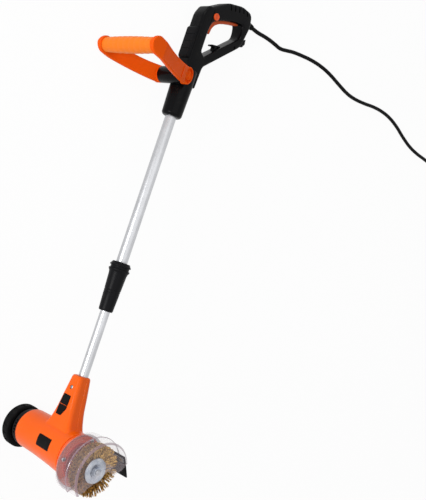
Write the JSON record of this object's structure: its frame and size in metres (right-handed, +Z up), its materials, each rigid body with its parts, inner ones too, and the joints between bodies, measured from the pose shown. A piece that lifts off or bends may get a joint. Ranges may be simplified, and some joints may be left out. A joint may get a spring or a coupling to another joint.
{
  "type": "electric weeder",
  "caption": "Corded weeder: wire brush in a clear guard on a motor head, side wheel, telescopic tube, D-handle with trigger and tilting front handle.",
  "frame": {"origin": "On the floor, under the middle of the box round the tool without its cord, with the tool lying on its left side on its wheel, front handle and grip.", "axes": "+X runs along the tube from the brush head to the D-handle, as seen from above; +Z is up; +Y completes the right-handed frame and points to the front handle."},
  "size_m": [1.0432, 1.1941, 0.2815],
  "materials": {
    "orange_housing": "satin moulded",
    "orange_gear_case": "satin moulded",
    "orange_strap": "fine textured",
    "orange_grip": "soft ringed",
    "orange_button": "moulded",
    "trigger_orange": "moulded",
    "black_handle": "fine textured",
    "black_collar": "satin moulded",
    "black_trim": "smooth",
    "white_bush": "moulded",
    "soft_black": "soft touch",
    "black_rubber": "matt",
    "black_plug": "moulded",
    "tyre_rubber": "ribbed",
    "tube_aluminium": "satin anodised",
    "steel": "plain",
    "zinc_disc": "zinc plated",
    "armature": "wound copper on steel",
    "carbon": "pressed carbon",
    "brass_wire": "wire",
    "clear_plastic": "clear"
  },
  "bodies": {
    "handle": {"upper_tube": "tube_aluminium", "collar_bush": "white_bush", "left_handle_shell": "black_handle", "right_handle_shell": "black_handle", "soft_grip_cover": "soft_black", "front_grip_pad": "soft_black", "trigger_pin": "steel", "trigger_switch": "black_collar", "handle_screw_1": "steel", "handle_screw_2": "steel", "handle_screw_3": "steel", "cord_strain_relief": "black_rubber", "power_cord": "black_rubber", "cord_coil": "black_rubber", "coil_tie": "black_plug", "mains_plug": "black_plug", "upper_lead": "black_rubber", "pivot_bolt": "steel"},
    "trigger": {"trigger": "trigger_orange"},
    "lock_button": {"lock_off_button": "orange_button"},
    "front_handle": {"front_handle_loop": "orange_strap", "front_handle_grip": "orange_grip"},
    "collar": {"twist_collar": "black_collar"},
    "head": {"lower_tube": "tube_aluminium", "lower_lead": "black_rubber", "front_motor_housing": "orange_housing", "rear_motor_housing": "orange_housing", "gear_case": "orange_gear_case", "rear_end_cap": "black_collar", "motor_stator": "steel", "front_carbon_brush": "carbon", "rear_carbon_brush": "carbon", "rear_motor_bearing": "steel", "front_motor_bearing": "steel", "inner_spindle_bearing": "steel", "outer_spindle_bearing": "steel", "clear_guard": "clear_plastic", "guard_screw_1": "steel", "guard_screw_2": "steel", "rubber_flap": "black_rubber", "flap_strip": "steel", "upper_neck_inset": "black_trim", "lower_neck_inset": "black_trim", "housing_plate": "black_trim", "housing_screw_1": "steel", "wheel_axle_bolt": "steel"},
    "wheel": {"wheel_hub": "black_trim", "wheel_tyre": "tyre_rubber"},
    "brush": {"brush_spindle": "steel", "output_gear": "steel", "inner_hub_disc": "zinc_disc", "outer_hub_disc": "zinc_disc", "wire_bristles": "brass_wire", "spindle_nut": "zinc_disc"},
    "idler": {"idler_gear": "steel"},
    "rotor": {"motor_armature": "armature", "cooling_fan": "black_collar"}
  },
  "joints": [
    {"name": "telescope_slide", "type": "slide", "parent": "handle", "child": "head", "axis": [0.9938, 0, -0.1115], "range_m": [-0.1, 0.11]},
    {"name": "collar_twist", "type": "hinge", "parent": "handle", "child": "collar", "pos_m": [-0.12915, -0.01985, 0.10409], "axis": [0.9938, 0, -0.1115], "range_deg": [0, 60]},
    {"name": "front_handle_tilt", "type": "hinge", "parent": "handle", "child": "front_handle", "pos_m": [0.30071, 0.00873, 0.0608], "axis": [0.1099, -0.1695, 0.9794], "range_deg": [-40, 40]},
    {"name": "trigger_press", "type": "hinge", "parent": "handle", "child": "trigger", "pos_m": [0.47137, -0.10854, 0.02134], "axis": [-0.1099, 0.1695, -0.9794], "range_deg": [0, 6.5], "stiffness_Nm_per_rad": 3, "springref_deg": -5.73},
    {"name": "lock_off_press", "type": "slide", "parent": "handle", "child": "lock_button", "axis": [-0.1099, 0.1695, -0.9794], "range_m": [0, 0.0025], "stiffness_N_per_m": 800, "springref_m": -0.002},
    {"name": "wheel_spin", "type": "hinge", "parent": "head", "child": "wheel", "pos_m": [-0.45636, 0.00126, 0.01734], "axis": [0.1099, -0.1695, 0.9794], "continuous": true},
    {"name": "brush_spin", "type": "hinge", "parent": "head", "child": "brush", "pos_m": [-0.43561, -0.03765, 0.24261], "axis": [0.1099, -0.1695, 0.9794], "continuous": true},
    {"name": "idler_spin", "type": "hinge", "parent": "head", "child": "idler", "pos_m": [-0.4297, -0.0437, 0.16432], "axis": [0.1099, -0.1695, 0.9794], "continuous": true},
    {"name": "rotor_spin", "type": "hinge", "parent": "head", "child": "rotor", "pos_m": [-0.4431, -0.01306, 0.09966], "axis": [0.1099, -0.1695, 0.9794], "continuous": true}
  ],
  "couplings": [
    {"joint": "idler_spin", "follows": "brush_spin", "ratio": -3},
    {"joint": "rotor_spin", "follows": "brush_spin", "ratio": 9}
  ]
}
